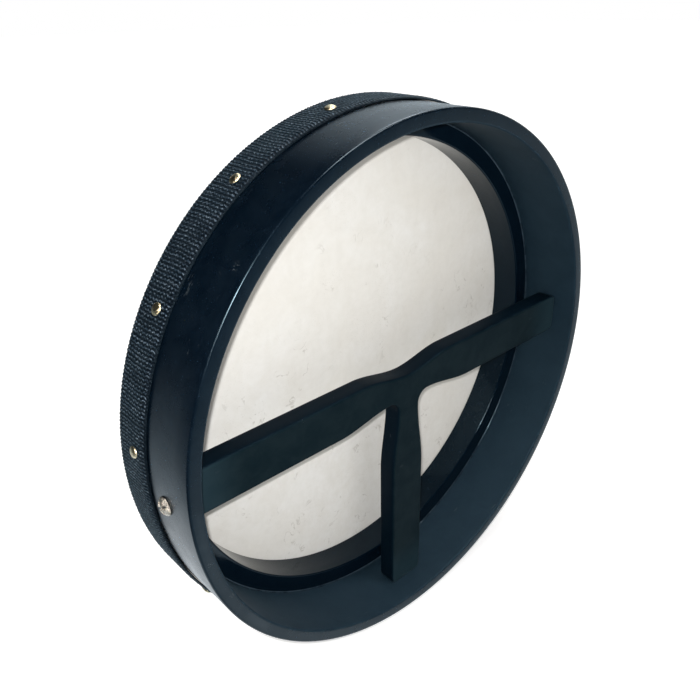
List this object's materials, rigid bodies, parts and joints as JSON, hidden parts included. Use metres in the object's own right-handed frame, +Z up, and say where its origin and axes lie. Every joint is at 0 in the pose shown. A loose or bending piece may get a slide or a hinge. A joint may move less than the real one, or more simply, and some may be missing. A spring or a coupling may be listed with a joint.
{
  "type": "bodhran",
  "caption": "Small Irish frame drum, black wooden shell open at the back, flat goatskin head held by a tacked ribbed band, and a T-shaped crossbar handle.",
  "frame": {"origin": "middle of the crossbar's grip, at half the board's thickness, on the drum's axis", "axes": "+Y along the drum's axis from the open back toward the skin, +Z up with the crossbar's stem pointing down (-Z), +X to the right as seen from the open back"},
  "size_m": [0.26, 0.0487, 0.2586],
  "materials": {
    "black_shell_lacquer": "gloss black lacquer over wood",
    "black_ring_lacquer": "satin-gloss black lacquer over wood",
    "black_bar_satin": "satin black paint over wood",
    "cream_goat_skin": "matt translucent rawhide",
    "black_ribbed_webbing": "ribbed woven webbing",
    "nickel_screw_metal": "bright nickel plate",
    "brass_tack_metal": "polished brass"
  },
  "bodies": {
    "root": {"shell": "black_shell_lacquer", "inner_ring": "black_ring_lacquer", "t_bar": "black_bar_satin", "drum_skin": "cream_goat_skin", "webbing_band": "black_ribbed_webbing", "screw_left": "nickel_screw_metal", "screw_right": "nickel_screw_metal", "screw_bottom": "nickel_screw_metal", "tack_01": "brass_tack_metal", "tack_02": "brass_tack_metal", "tack_03": "brass_tack_metal", "tack_04": "brass_tack_metal", "tack_05": "brass_tack_metal", "tack_06": "brass_tack_metal", "tack_07": "brass_tack_metal", "tack_08": "brass_tack_metal", "tack_09": "brass_tack_metal", "tack_10": "brass_tack_metal", "tack_11": "brass_tack_metal", "tack_12": "brass_tack_metal", "tack_13": "brass_tack_metal", "tack_14": "brass_tack_metal", "tack_15": "brass_tack_metal"}
  },
  "joints": []
}
